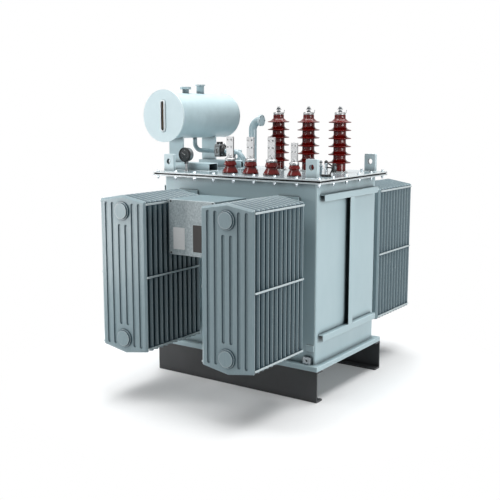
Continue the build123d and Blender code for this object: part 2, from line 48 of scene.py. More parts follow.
FRONT = Vector((0, -1, 0))
BACK = Vector((0, 1, 0))
RIGHT = Vector((1, 0, 0))
LEFT = -RIGHT
UP = Vector((0, 0, 1))
DOWN = Vector((0, 0, -1))
# Signs of the four corners of a rectangle
CORNERS = ((-1, -1), (-1, 1), (1, -1), (1, 1))


def middle(low, high, axis):
    """The middle of a CAD box along one axis, in metres."""
    return (low[axis] + high[axis]) / 2


def span(low, high, axis):
    """How far a CAD box reaches along one axis, in millimetres."""
    return (high[axis] - low[axis]) / MM


cover_low, cover_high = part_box("cover")
flange_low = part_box("tank_flange")[0]
TANK_X = middle(cover_low, cover_high, X)
COVER_TOP = cover_high[Z]


def linear(code):
    """A colour written as sRGB hex, as the linear values that shaders take."""
    parts = [int(code[i : i + 2], 16) / 255 for i in (0, 2, 4)]
    return tuple(c / 12.92 if c <= 0.04045 else ((c + 0.055) / 1.055) ** 2.4 for c in parts) + (1.0,)


def add(tree, kind, inputs=(), **settings):
    """Add one shader node with its settings; an input is a plain value or the socket that feeds it."""
    node = tree.nodes.new(kind)
    for name, value in settings.items():
        setattr(node, name, value)
    for socket, value in dict(inputs).items():
        if isinstance(value, bpy.types.NodeSocket):
            tree.links.new(value, node.inputs[socket])
        else:
            node.inputs[socket].default_value = value
    return node


def new_material(name, **values):
    """A material with one principled shader, whose even values are set on its own sockets."""
    material = bpy.data.materials.new(name)
    material.use_nodes = True
    tree = material.node_tree
    shader = tree.nodes["Principled BSDF"]
    for socket, value in values.items():
        shader.inputs[socket.replace("_", " ")].default_value = value
    return material, tree, shader


def per_metre(size_mm):
    """The scale of a noise whose grain is about this many millimetres."""
    return 1000.0 / size_mm


# Two-colour mixing uses the colour sockets of the Mix node
MIX_FACTOR, MIX_A, MIX_B, MIX_OUT = 0, 6, 7, 2
# Rays by which a point feels for the surfaces round it
FEELERS = 8
# Most of a noise lies between these values, so a tone runs from one to the other
NOISE_LOW, NOISE_HIGH = 0.3, 0.7
# How much duller enamel is where it is thin, and how much glossier where it is thick
DULLER, GLOSSIER = 0.04, 0.03
# Patches of polish on metal, either side of its roughness
POLISH_SPREAD = 0.08
# Real orange peel is about 2 mm wide; it is drawn wider, as coarse as it needs to be to show
PEEL_WIDTH = 6
PEEL_DEPTH = 0.10
# Reach of the painted shade in creases and joints
CREASE_SHADE_REACH = 9.0


def lay_over(tree, below, above, value, low=0.0, high=1.0):
    """Lay one colour over another as a value goes from low to high."""
    share = add(tree, "ShaderNodeMapRange", {"Value": value, "From Min": low, "From Max": high})
    inputs = {MIX_FACTOR: share.outputs["Result"], MIX_A: below, MIX_B: above}
    return add(tree, "ShaderNodeMix", inputs, data_type="RGBA").outputs[MIX_OUT]


def lay_by_depth(tree, below, above, reach_mm, low, high, inside=False):
    """Lay one colour over another by how open a point is to the air, or by the steel behind it; every use
    paints shade in hollows and highlights on edges.
    """
    reach = {"Distance": reach_mm * MM}
    depth = add(tree, "ShaderNodeAmbientOcclusion", reach, samples=FEELERS, inside=inside)
    return lay_over(tree, below, above, depth.outputs["AO"], low, high)


def roughen(tree, shader, place, grain_mm, depth_mm, detail, strength=0.4):
    """Raise a grain of this width and depth on the surface, and return its pattern."""
    scale = per_metre(grain_mm)
    grain = add(tree, "ShaderNodeTexNoise", {"Vector": place, "Scale": scale, "Detail": detail})
    height = {"Height": grain.outputs["Fac"], "Strength": strength, "Distance": depth_mm * MM}
    relief = add(tree, "ShaderNodeBump", height)
    tree.links.new(relief.outputs["Normal"], shader.inputs["Normal"])
    return grain.outputs["Fac"]


def sprayed_enamel(
    name, light, dark, painted_shade, edge, *, roughness, cloud_mm, drawn_out=1,
    reach_mm=70, closed=0.4, clear=0.85, edge_mm=5, crease=(0.35, 0.8), rim=(0.93, 0.6)
):
    """Enamel sprayed on steel: clouds of tone, orange peel, painted highlights on edges, and painted shade
    in hollows, creases and joints.
    """
    # Painted shade in hollows is full at the openness closed and gone at clear; crease and rim do the same
    # for the painted shade in creases and joints and for the painted highlight on edges
    material, tree, shader = new_material(name)
    place = add(tree, "ShaderNodeTexCoord").outputs["Object"]
    # Runs of paint are longer than they are wide, so the clouds can be drawn out downward
    streaked = add(tree, "ShaderNodeMapping", {"Vector": place, "Scale": (1.0, 1.0, 1.0 / drawn_out)})
    streaks = streaked.outputs["Vector"]
    clouds = {"Vector": streaks, "Scale": per_metre(cloud_mm), "Detail": 5.0, "Roughness": 0.6}
    cloud = add(tree, "ShaderNodeTexNoise", clouds).outputs["Fac"]
    paint = lay_over(tree, linear(dark), linear(light), cloud, NOISE_LOW, NOISE_HIGH)
    # Painted shade: the point is darkened where it is closed in, in hollows, in corners and between parts
    corner_shaded = lay_by_depth(tree, linear(painted_shade), paint, reach_mm, closed, clear)
    # Painted highlight: convex edges are lightened, found by how thin the steel is behind the point
    edge_highlit = lay_by_depth(tree, corner_shaded, linear(edge), edge_mm, *rim, inside=True)
    # Painted shade in creases and joints, within a short reach
    joint_shaded = lay_by_depth(tree, linear(painted_shade), edge_highlit, CREASE_SHADE_REACH, *crease)
    tree.links.new(joint_shaded, shader.inputs["Base Color"])
    sheen = {"Value": cloud, "From Min": NOISE_LOW, "From Max": NOISE_HIGH}
    sheen |= {"To Min": roughness + DULLER, "To Max": roughness - GLOSSIER}
    gloss = add(tree, "ShaderNodeMapRange", sheen)
    tree.links.new(gloss.outputs["Result"], shader.inputs["Roughness"])
    roughen(tree, shader, place, PEEL_WIDTH, PEEL_DEPTH, detail=2.0, strength=0.35)
    return material


# Alkyd enamel, sprayed on welded plate: pale blue-grey, a satin sheen and faint clouds
tank_enamel = sprayed_enamel(
    "alkyd_enamel_on_plate", "BED4DA", "B9D0D6", "2C3A40", "D6E7EB",
    roughness=0.36, cloud_mm=150, drawn_out=2,
)
# The same enamel where the cover is wiped clean: glossy enough to mirror the bushings, painted darker than
# on the walls as painted shade on the cover top, with painted highlights on its edges
cover_enamel = sprayed_enamel(
    "gloss_enamel_on_cover", "98AAB0", "92A4AA", "0E1416", "F6FBFC",
    roughness=0.14, cloud_mm=120, edge_mm=8,
)
# Enamel over rolled sheet: the drum shows faint cloudy bands
drum_enamel = sprayed_enamel(
    "enamel_on_rolled_drum", "C5DBE1", "BBD2D8", "465C64", "DCEBEF", roughness=0.32, cloud_mm=90
)
# The enamel on the bolted front cover of the drum, painted paler and more even than the drum as painted
# light on this front face
end_enamel = sprayed_enamel(
    "enamel_on_drum_cover", "DEF0F5", "D8EBF0", "5A7078", "E6F2F5", roughness=0.32, cloud_mm=120
)
# Flow-coated enamel on pressed radiator sheet: greyer, streaky, with painted shade in the gaps and painted
# highlights on the rims
radiator_enamel = sprayed_enamel(
    "flow_coated_radiator_enamel", "9BB0B7", "91A7AE", "425A64", "F2F9FA",
    roughness=0.30, cloud_mm=14, drawn_out=5,
    reach_mm=90, closed=0.56, clear=0.97, edge_mm=6, crease=(0.5, 0.95), rim=(0.74, 0.5),
)
# Hammered enamel on the folded box: a grey-blue speckle that breaks up the shine, painted darker than the
# lid as painted shade on the box top
box_enamel = sprayed_enamel(
    "hammered_box_enamel", "82969C", "70848A", "2C393F", "D6E2E5", roughness=0.32, cloud_mm=16, edge_mm=1
)
# The same on the lid: painted paler as painted light on the box front, with a finer and stronger speckle
lid_enamel = sprayed_enamel(
    "hammered_lid_enamel", "CCD7DA", "9AAAAF", "3E4C52", "DCE6E9", roughness=0.32, cloud_mm=13
)
# Enamel on flat bar, brushed by hand: the edges carry a painted highlight
bar_enamel = sprayed_enamel(
    "brushed_enamel_on_flat_bar", "C6D4D7", "BAC9CD", "4A5A60", "DFEAEC", roughness=0.32, cloud_mm=40
)
# The tank enamel on the lifting lugs, painted paler than the tank as painted light, and a little softer in
# its shine
lug_enamel = sprayed_enamel(
    "lug_enamel_painted_paler", "D0E3E8", "C8DCE1", "3A484E", "E6F2F5", roughness=0.38, cloud_mm=60
)
# Chassis black, sprayed on hot-rolled channel: a dull near-black with a dusty bloom
skid_black = sprayed_enamel(
    "chassis_black_on_channel", "38393B", "303234", "141617", "5E6163",
    roughness=0.50, cloud_mm=140, drawn_out=2,
)
# Grey stove enamel on the cast relay: a mid grey with painted highlights on its corners and painted shade
# in its hollows
relay_grey = sprayed_enamel(
    "grey_stove_enamel", "7E8182", "6C6F70", "17191A", "A4A8A9", roughness=0.42, cloud_mm=12, reach_mm=25
)


def pipe_coat(name):
    """The thin enamel that all pipes and small flanges have, named for the one it is on."""
    return sprayed_enamel(
        name, "A6BCC3", "9CB3BA", "243137", "D6E6EA", roughness=0.26, cloud_mm=60, drawn_out=2, reach_mm=40
    )


def second_colour(material, colour, axis, low, high):
    """Lay a second colour over what lies between two places along an axis."""
    tree = material.node_tree
    socket = tree.nodes["Principled BSDF"].inputs["Base Color"]
    below = socket.links[0].from_socket
    place = add(tree, "ShaderNodeTexCoord").outputs["Object"]
    along = add(tree, "ShaderNodeSeparateXYZ", {"Vector": place}).outputs[axis]
    band = {0: along, 1: (low + high) / 2, 2: (high - low) / 2}
    covered = add(tree, "ShaderNodeMath", band, operation="COMPARE").outputs["Value"]
    tree.links.new(lay_over(tree, below, linear(colour), covered), socket)


# Thin enamel on the pipework: a little darker than the tank, with painted highlights on the rims
pipe_enamel = pipe_coat("enamel_on_pipework")
# The same on the outlet pipe, whose flared coupling beside the relay is dipped in black
COUPLING_LENGTH = 26
outlet_enamel = pipe_coat("enamel_on_outlet_pipe")
second_colour(
    outlet_enamel,
    "17191A",
    "X",
    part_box("gas_relay")[0][X],
    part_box("gas_relay")[1][X] + COUPLING_LENGTH * MM,
)
# Painted shade: a black band over the edges on both sides of the gasket, widening its dark joint line
SHADE_BAND_WIDTH = 2.0
second_colour(
    cover_enamel,
    "0A0D0E",
    "Z",
    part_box("cover_gasket")[0][Z] - SHADE_BAND_WIDTH * MM,
    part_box("cover_gasket")[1][Z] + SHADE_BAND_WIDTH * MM,
)


def glazed_porcelain(name, light, dark, thick):
    """Red-brown glaze on fired porcelain: a deep wet shine, with painted shade where the porcelain is
    closed in.
    """
    material, tree, shader = new_material(name, IOR=1.45, Roughness=0.05, Specular_IOR_Level=0.32)
    place = add(tree, "ShaderNodeTexCoord").outputs["Object"]
    pool = add(tree, "ShaderNodeTexNoise", {"Vector": place, "Scale": per_metre(45), "Detail": 3.0})
    glaze = lay_over(tree, linear(dark), linear(light), pool.outputs["Fac"])
    # Painted shade: the glaze is painted near black where it is closed in, in the waists under the sheds;
    # thick is the colour of this painted shade
    deep = lay_by_depth(tree, linear(thick), glaze, reach_mm=30, low=0.42, high=0.96)
    tree.links.new(deep, shader.inputs["Base Color"])
    roughen(tree, shader, place, grain_mm=60, depth_mm=0.25, detail=1.0, strength=0.12)
    return material


def bare_metal(name, light, dark, *, roughness, grain_mm, depth_mm):
    """Bare or plated metal: a grained surface with faint patches of tone and of polish."""
    material, tree, shader = new_material(name, Metallic=1.0)
    place = add(tree, "ShaderNodeTexCoord").outputs["Object"]
    # A patch is about six grains wide
    scale = per_metre(6 * grain_mm)
    patch = add(tree, "ShaderNodeTexNoise", {"Vector": place, "Scale": scale, "Detail": 4.0}).outputs["Fac"]
    tone = lay_over(tree, linear(dark), linear(light), patch)
    tree.links.new(tone, shader.inputs["Base Color"])
    polish = add(
        tree,
        "ShaderNodeMapRange",
        {"Value": patch, "To Min": roughness - POLISH_SPREAD, "To Max": roughness + POLISH_SPREAD},
    )
    tree.links.new(polish.outputs["Result"], shader.inputs["Roughness"])
    roughen(tree, shader, place, grain_mm, depth_mm, detail=2.0)
    return material


def moulded(name, light, dark, *, roughness, grain_mm, depth_mm):
    """Rubber, card, lacquer, black enamel or glass: an even shine, a mottled tone and a fine tooth."""
    material, tree, shader = new_material(name, Roughness=roughness, Specular_IOR_Level=0.25)
    place = add(tree, "ShaderNodeTexCoord").outputs["Object"]
    mottle = roughen(tree, shader, place, grain_mm, depth_mm, detail=4.0)
    tone = lay_over(tree, linear(dark), linear(light), mottle)
    tree.links.new(tone, shader.inputs["Base Color"])
    return material


# Glazed porcelain: wet red-brown, with painted shade almost black in the waists between the sheds
porcelain = glazed_porcelain("glazed_brown_porcelain", "7A100A", "5A0704", "1E0000")
# The grain of the materials below is finer than a millimetre; it is drawn as coarse as it needs to show

# Tinned copper, cast and milled: a soft, even grey-white metal
tinned_copper = bare_metal("tinned_copper", "A2A3A4", "909192", roughness=0.36, grain_mm=4, depth_mm=0.03)
# Zinc-plated steel, as on bought bolts: bright, slightly blue, cloudy
zinc_steel = bare_metal("zinc_plated_steel", "A4ABAF", "838C91", roughness=0.28, grain_mm=3, depth_mm=0.03)
# Sand-cast aluminium: light grey with the tooth of the sand
cast_aluminium = bare_metal(
    "sand_cast_aluminium", "868B8D", "6A7072", roughness=0.46, grain_mm=2.5, depth_mm=0.12
)
# Blackened steel nuts: oiled and dark, with a dull gleam
oiled_steel = bare_metal("oiled_black_steel", "55585A", "2E3133", roughness=0.38, grain_mm=3, depth_mm=0.05)
# Rubber-bonded cork: black, dead matt, crumbly at the edge
gasket_cork = moulded("rubber_bonded_cork", "17191A", "0B0C0D", roughness=0.85, grain_mm=3, depth_mm=0.3)
# Black stove enamel on small castings: hard, smooth and half glossy
stove_black = moulded("black_stove_enamel", "17191A", "0E1011", roughness=0.42, grain_mm=20, depth_mm=0.05)
# Smoked gauge glass over a dark slot: black and shiny
gauge_glass = moulded("smoked_gauge_glass", "16181A", "0C0D0E", roughness=0.10, grain_mm=20, depth_mm=0.01)
# Oil behind the glass: a narrow amber column
gauge_oil = moulded("amber_oil_column", "6E5A44", "584632", roughness=0.20, grain_mm=15, depth_mm=0.01)
# Lacquered frame of the gauge: nearly white, smooth, with a soft tooth
gauge_lacquer = moulded(
    "white_lacquered_frame", "EEF3F4", "E2E9EB", roughness=0.36, grain_mm=10, depth_mm=0.02
)
# Marks printed on the dial: dull pale grey
dial_print = moulded("grey_dial_print", "C4C6C6", "A8AAAA", roughness=0.55, grain_mm=4, depth_mm=0.01)
# Printed black card of the dial, faded to a dark grey with a faint mottle
dial_card = moulded("black_dial_card", "4A4D4F", "3A3D3E", roughness=0.45, grain_mm=8, depth_mm=0.02)
# Blank plates: pale lacquered aluminium and dark anodised aluminium, both smooth with a low sheen
pale_plate = moulded("pale_lacquered_plate", "F6F7F7", "ECEFEF", roughness=0.32, grain_mm=12, depth_mm=0.02)
dark_plate = moulded("dark_anodised_plate", "45413F", "322F2E", roughness=0.36, grain_mm=6, depth_mm=0.05)


def circle(radius, count, start=0.0):
    """Even points round a circle; the first is turned by this share of a step."""
    angles = [tau * (index + start) / count for index in range(count)]
    return [(radius * cos(angle), radius * sin(angle)) for angle in angles]


def facing(x, y, z, direction=UP):
    """The place whose local Z axis points along a direction."""
    return Matrix.Translation((x, y, z)) @ direction.to_track_quat("Z", "Y").to_matrix().to_4x4()


def shifted(place, x, y, z):
    """A place moved by millimetres along its own axes."""
    return place @ Matrix.Translation(Vector((x, y, z)) * MM)


def ring_at(bm, place, outline, level):
    """The points of an outline in millimetres, at a level above a place."""
    return [bm.verts.new(place @ (Vector((x, y, level)) * MM)) for x, y in outline]


def lathe(bm, outline, place, segments=48):
    """Turn an outline of (radius, height) in millimetres about the Z axis of a place."""
    rings = []
    for radius, height in outline:
        points = circle(radius, segments if radius > 0 else 1)
        rings.append(ring_at(bm, place, points, height))
    for lower, upper in zip(rings, rings[1:]):
        for index in range(segments):
            after = (index + 1) % segments
            spots = ((lower, index), (lower, after), (upper, after), (upper, index))
            corners = [ring[spot % len(ring)] for ring, spot in spots]
            # A ring of one point makes three-sided faces
            bm.faces.new(list(dict.fromkeys(corners)))


def disc(bm, place, radius, height, base, edge, segments):
    """A disc from a base level up, with its upper edge cut off."""
    top = base + height
    outline = [(0, base), (radius, base), (radius, top - edge), (radius - edge, top), (0, top)]
    lathe(bm, outline, place, segments)


def hexagon(bm, place, across, height, base=0.0):
    """A chamfered hexagon nut or bolt head of this width across its flats."""
    disc(bm, place, across / sqrt(3), height, base, 0.08 * across, 6)


def washer(bm, place, radius, height, base=0.0):
    """A flat round washer or rod with a softened upper edge."""
    disc(bm, place, radius, height, base, min(0.3 * height, 1.0), 32)


def nut_on_washer(bm, place, radius, thickness, across, height):
    """A nut or bolt head on its washer."""
    washer(bm, place, radius, thickness)
    hexagon(bm, place, across, height, thickness)


def skin(bm, rings):
    """Join each ring to the next; all have the same number of points."""
    count = len(rings[0])
    for lower, upper in zip(rings, rings[1:]):
        for index in range(count):
            after = (index + 1) % count
            bm.faces.new((lower[index], lower[after], upper[after], upper[index]))


def close_ends(bm, rings):
    """Flat faces over the first and the last ring."""
    bm.faces.new(rings[0][::-1])
    bm.faces.new(rings[-1])


def rounded_outline(width, height, corner, steps=6):
    """The corner points of a rectangle with round corners, in millimetres."""
    points = []
    centres = ((1, 1, 0.0), (-1, 1, 0.25), (-1, -1, 0.5), (1, -1, 0.75))
    for side_x, side_y, turn in centres:
        for step in range(steps + 1):
            angle = tau * (turn + 0.25 * step / steps)
            x = side_x * (width / 2 - corner) + corner * cos(angle)
            y = side_y * (height / 2 - corner) + corner * sin(angle)
            points.append((x, y))
    return points


def slab(bm, place, width, height, thickness, corner, chamfer=1.0):
    """A plate with round corners and a chamfered face, standing on a place."""
    outer = rounded_outline(width, height, corner)
    inner = rounded_outline(width - 2 * chamfer, height - 2 * chamfer, max(corner - chamfer, 0.2))
    layers = ((outer, 0.0), (outer, thickness - chamfer), (inner, thickness))
    rings = [ring_at(bm, place, outline, level) for outline, level in layers]
    close_ends(bm, rings)
    skin(bm, rings)


def tube(bm, points, radius, sides=8, closed=False):
    """A round rod along a line of points in metres; its radius is in millimetres."""
    line = [Vector(point) for point in points]
    count = len(line)
    rings = []
    for index, point in enumerate(line):
        before = line[index - 1] if index or closed else point
        after = line[(index + 1) % count] if index < count - 1 or closed else point
        turn = (after - before).normalized().to_track_quat("Z", "Y").to_matrix()
        ring = []
        for x, y in circle(1, sides):
            ring.append(bm.verts.new(point + turn @ Vector((x, y, 0)) * radius * MM))
        rings.append(ring)
    if closed:
        rings.append(rings[0])
    else:
        close_ends(bm, rings)
    skin(bm, rings)


def between(t, p, q, r, s):
    """A smooth value from q to r at the share t, led by the values before and after them."""
    bend = (2 * p - 5 * q + 4 * r - s) * t * t
    twist = (3 * q - p - 3 * r + s) * t**3
    return 0.5 * (2 * q + (r - p) * t + bend + twist)


def smooth_outline(points, steps=4):
    """Points along a smooth curve that passes through the given ones."""
    padded = [points[0]] + list(points) + [points[-1]]
    curve = []
    for four in zip(padded, padded[1:], padded[2:], padded[3:]):
        for step in range(steps):
            curve.append(tuple(between(step / steps, *values) for values in zip(*four)))
    curve.append(tuple(points[-1]))
    return curve


# Edges bent more than this stay sharp in the shading of a piece
SHARP_ANGLE = 32


def new_piece(name, build, material, slot, *replaced):
    """One piece of the transformer from the mesh that build makes; it stays with the one body."""
    bm = bmesh.new()
    build(bm)
    bmesh.ops.recalc_face_normals(bm, faces=bm.faces)
    mesh = bpy.data.meshes.new(name)
    bm.to_mesh(mesh)
    bm.free()
    mesh.materials.append(material)
    mesh.shade_smooth()
    mesh.set_sharp_from_angle(angle=radians(SHARP_ANGLE))
    piece = bpy.data.objects.new(name, mesh)
    bpy.context.scene.collection.objects.link(piece)
    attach(piece, "root")
    if replaced:
        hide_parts(*replaced)


# Finishes of the pieces that keep their CAD shape, and the radius that softens their edges
finishes = {
    "skid_beams": (skid_black, 2.0),
    "base_plate": (tank_enamel, 2.5),
    "tank_flange": (cover_enamel, 0.8),
    "cover_gasket": (gasket_cork, 0),
    "cover": (cover_enamel, 0.8),
    "end_rails": (tank_enamel, 3.0),
    "end_posts": (tank_enamel, 3.0),
    "radiator_headers": (radiator_enamel, 3.0),
    "radiator_tie_bars": (bar_enamel, 1.0),
    "radiator_pads": (tank_enamel, 2.0),
    "cable_box": (box_enamel, 1.5),
    "cable_box_brackets": (tank_enamel, 1.0),
    "conservator_drum": (drum_enamel, 0),
    "conservator_front_cover": (end_enamel, 2.0),
    "conservator_back_end": (drum_enamel, 2.5),
    "conservator_cradles": (drum_enamel, 1.0),
    "conservator_beams": (tank_enamel, 2.0),
    "filler_cap": (pipe_enamel, 2.0),
    "breather_stub": (pipe_enamel, 2.0),
    "relay_pipe_upper": (pipe_enamel, 1.0),
    "relay_pipe_lower": (outlet_enamel, 1.0),
    "gas_relay": (relay_grey, 2.0),
    "gas_relay_knobs": (stove_black, 2.0),
    "relief_vent": (pipe_enamel, 1.0),
    "relief_vent_plate": (pipe_enamel, 1.0),
    "hv_bushing_flanges": (cover_enamel, 0),
    "lv_caps": (tinned_copper, 1.5),
    "lv_palms": (tinned_copper, 0.8),
    "lifting_lugs": (lug_enamel, 2.0),
    "bleed_plug": (zinc_steel, 1.0),
    "earth_terminals": (zinc_steel, 1.5),
}
for side in ("front", "back", "left", "right"):
    finishes["tank_wall_" + side] = (tank_enamel, 0)
for side in ("front_left", "front_right", "back_left", "back_right"):
    finishes["radiator_%s_panels" % side] = (radiator_enamel, 1.4)
# Corners nearer than this are one, and edges bent more than this are softened
SAME_CORNER = 0.02
SOFT_ANGLE = 35
for node_name, (finish, edge_mm) in finishes.items():
    node = nodes[node_name]
    node.data.materials.clear()
    node.data.materials.append(finish)
    if edge_mm:
        weld = node.modifiers.new("joined_faces", "WELD")
        weld.merge_threshold = SAME_CORNER * MM
        soft = node.modifiers.new("soft_edges", "BEVEL")
        soft.width = edge_mm * MM
        soft.segments = 2
        soft.limit_method = "ANGLE"
        soft.angle_limit = radians(SOFT_ANGLE)
        soft.use_clamp_overlap = True


# Cover bolts: washer and head above, washer, nut and tail below the rim flange
BOLT_INSET = 29
BOLTS_ALONG = 9
BOLTS_ACROSS = 6
BOLT_FLATS = 20
BOLT_HEAD = 11
BOLT_NUT = 12
BOLT_TAIL = 24
BOLT_RADIUS = 6.5
HEAD_WASHER_RADIUS = 13
NUT_WASHER_RADIUS = 12
BOLT_WASHER = 2.5


def bolt_places():
    """Where the bolts stand round the cover, each once."""
    x_low, x_high = cover_low[X] + BOLT_INSET * MM, cover_high[X] - BOLT_INSET * MM
    y_low, y_high = cover_low[Y] + BOLT_INSET * MM, cover_high[Y] - BOLT_INSET * MM
    for index in range(BOLTS_ALONG):
        x = x_low + (x_high - x_low) * index / (BOLTS_ALONG - 1)
        yield x, y_low
        yield x, y_high
    for index in range(1, BOLTS_ACROSS - 1):
        y = y_low + (y_high - y_low) * index / (BOLTS_ACROSS - 1)
        yield x_low, y
        yield x_high, y


def cover_bolts(bm):
    """Hexagon bolts through the cover and the rim flange."""
    for x, y in bolt_places():
        nut_on_washer(bm, facing(x, y, COVER_TOP), HEAD_WASHER_RADIUS, BOLT_WASHER, BOLT_FLATS, BOLT_HEAD)
        tail = facing(x, y, flange_low[Z], DOWN)
        nut_on_washer(bm, tail, NUT_WASHER_RADIUS, BOLT_WASHER, BOLT_FLATS, BOLT_NUT)
        washer(bm, tail, BOLT_RADIUS, BOLT_TAIL)


new_piece("cover_bolts", cover_bolts, zinc_steel, "terminal_steel")


# High voltage bushings
HV_COUNT = 3
HV_CORE = 47
HV_NECK = 42
HV_SHEDS = 6
HV_SHED_PITCH = 59.3
HV_FIRST_SHED = 66
hv_low, hv_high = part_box("hv_porcelains")
HV_Y = middle(hv_low, hv_high, Y)
HV_SHED = span(hv_low, hv_high, Y) / 2
HV_HEIGHT = span(hv_low, hv_high, Z)
HV_FIRST_X = hv_low[X] + HV_SHED * MM
HV_PITCH = (hv_high[X] - hv_low[X] - 2 * HV_SHED * MM) / (HV_COUNT - 1)
hv_places = [(HV_FIRST_X + index * HV_PITCH, HV_Y) for index in range(HV_COUNT)]
# Steps round a turned porcelain
GLAZE_SEGMENTS = 72


def hv_outline():
    """The glazed outline: a straight core, and thin sheds with a rolled rim and a hollow upper slope."""
    reach = HV_SHED - HV_CORE
    points = [(HV_CORE, 0), (HV_CORE, 20)]
    for index in range(HV_SHEDS):
        level = HV_FIRST_SHED + index * HV_SHED_PITCH
        above = HV_NECK if index == HV_SHEDS - 1 else HV_CORE
        points += [
            (HV_CORE, level - 16),
            (HV_CORE + 0.04 * reach, level - 10),
            (HV_CORE + 0.5 * reach, level - 6.5),
            (HV_SHED - 3, level - 5),
            (HV_SHED, level - 2),
            (HV_SHED - 1, level + 2),
            (HV_CORE + 0.62 * reach, level + 5.5),
            (HV_CORE + 0.3 * reach, level + 11),
            (HV_CORE + 0.1 * reach, level + 18),
            (above, level + 27),
        ]
    points += [(HV_NECK, HV_HEIGHT - 8), (HV_NECK - 1, HV_HEIGHT - 3), (HV_NECK - 4, HV_HEIGHT)]
    return [(0, 0)] + smooth_outline(points) + [(0, HV_HEIGHT)]


def hv_glaze(bm):
    """The three shedded porcelains."""
    for x, y in hv_places:
        lathe(bm, hv_outline(), facing(x, y, hv_low[Z]), GLAZE_SEGMENTS)


new_piece("hv_glazed_porcelains", hv_glaze, porcelain, "porcelain", "hv_porcelains")

HV_TOP = hv_high[Z]
HV_STUD_TOP = (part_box("hv_terminals")[1][Z] - HV_TOP) / MM
HV_STUD_RADIUS = 8
HV_CAP_HEIGHT = 20.5
HV_NUT = 11
UPPER_NUT_DROP = 21
HV_WASHER = 4
HOOK_WIRE_RADIUS = 2.2


def hv_caps(bm):
    """Turned cap, stud and the bent wire that guards against arcs."""
    top = HV_CAP_HEIGHT
    cap = [(0, 0), (39, 0), (41, 2), (41, 13), (39, 17), (34, 20), (12, top), (0, top)]
    # Reach and rise of the wire, in metres
    hook = [(0.036, 0.012), (0.047, 0.012), (0.050, 0.016), (0.051, 0.030), (0.053, 0.036)]
    for x, y in hv_places:
        place = facing(x, y, HV_TOP)
        lathe(bm, cap, place)
        washer(bm, place, HV_STUD_RADIUS, HV_STUD_TOP)
        tube(bm, [(x + reach, y, HV_TOP + rise) for reach, rise in hook], HOOK_WIRE_RADIUS)


def hv_nuts(bm):
    """Two dark nuts on each stud, the upper one over a washer."""
    for x, y in hv_places:
        place = facing(x, y, HV_TOP)
        upper = HV_STUD_TOP - UPPER_NUT_DROP
        hexagon(bm, place, across=28, height=HV_NUT, base=HV_CAP_HEIGHT)
        washer(bm, place, radius=21, height=HV_WASHER, base=upper - HV_WASHER)
        hexagon(bm, place, across=27, height=HV_NUT, base=upper)


new_piece("hv_caps_and_studs", hv_caps, tinned_copper, "tinned_metal", "hv_terminals")
new_piece("hv_stud_nuts", hv_nuts, oiled_steel, "black_metal")


# Low voltage bushings: centre from the middle of the tank, and size beside a phase bushing
LV_COLUMNS = ((-147, 1.0), (34, 1.0), (215, 1.0), (405, 0.86))
lv_low, lv_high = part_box("lv_porcelains")
LV_Y = middle(lv_low, lv_high, Y)
LV_BASE = span(lv_low, lv_high, Y) / 2
LV_HEIGHT = span(lv_low, lv_high, Z)
# The clamp screw's height above the porcelain, and the cap's radius as a share of the porcelain's foot
CAP_SCREW_RISE = 9
CAP_SHARE = 0.66


def lv_outline(scale):
    """A skirt with a thick foot, a waist, and a rounded upper tier."""
    base = LV_BASE * scale
    tall = LV_HEIGHT * scale
    skirt = [(1.0, 0.0), (1.0, 0.07), (0.975, 0.15), (0.86, 0.29), (0.72, 0.45), (0.65, 0.54)]
    waist = [(0.67, 0.585), (0.775, 0.635)]
    tier = [(0.8, 0.675), (0.785, 0.74), (0.72, 0.86), (0.66, 0.95), (0.62, 1.0)]
    points = [(share * base, level * tall) for share, level in skirt + waist + tier]
    return [(0, 0)] + smooth_outline(points) + [(0, tall)]


def lv_glaze(bm):
    """The four two-tier porcelains."""
    for x, scale in LV_COLUMNS:
        lathe(bm, lv_outline(scale), facing(TANK_X + x * MM, LV_Y, lv_low[Z]), GLAZE_SEGMENTS)


def lv_cap_screws(bm):
    """A clamp screw that stands out of the side of each cap."""
    for x, scale in LV_COLUMNS:
        level = COVER_TOP + (LV_HEIGHT * scale + CAP_SCREW_RISE) * MM
        side = facing(TANK_X + (x - CAP_SHARE * LV_BASE * scale) * MM, LV_Y, level, LEFT)
        hexagon(bm, side, across=9, height=6)
        washer(bm, side, radius=2.5, height=11)


new_piece("lv_glazed_porcelains", lv_glaze, porcelain, "porcelain", "lv_porcelains")
new_piece("lv_cap_screws", lv_cap_screws, zinc_steel, "tinned_metal")


# Cable box: lid with round corners, its screws, and two blank plates
box_low, box_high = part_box("cable_box_front")
BOX_FACE = box_low[Y]
BOX_X = middle(box_low, box_high, X)
BOX_Z = middle(box_low, box_high, Z)
BOX_WIDTH = span(box_low, box_high, X)
BOX_HEIGHT = span(box_low, box_high, Z)
BOX_THICK = span(box_low, box_high, Y)
LID_CORNER = 14
LID_CHAMFER = 1.5
SCREW_INSET_X = 17
SCREW_INSET_Z = 12
PLATE_THICK = 1.6
PLATE_CORNER = 4
PLATE_CHAMFER = 0.4
RIVET_INSET = 6


def box_lid(bm):
    """The bolted front of the cable box."""
    place = facing(BOX_X, box_high[Y], BOX_Z, FRONT)
    slab(bm, place, BOX_WIDTH, BOX_HEIGHT, BOX_THICK, LID_CORNER, LID_CHAMFER)


def box_screws(bm):
    """Low screws near the corners of the box front."""
    for side, level in CORNERS:
        x = BOX_X + side * (BOX_WIDTH / 2 - SCREW_INSET_X) * MM
        z = BOX_Z + level * (BOX_HEIGHT / 2 - SCREW_INSET_Z) * MM
        lathe(bm, [(0, 0), (7, 0), (7, 1.5), (4.5, 3.2), (0, 3.8)], facing(x, BOX_FACE, z, FRONT), 24)


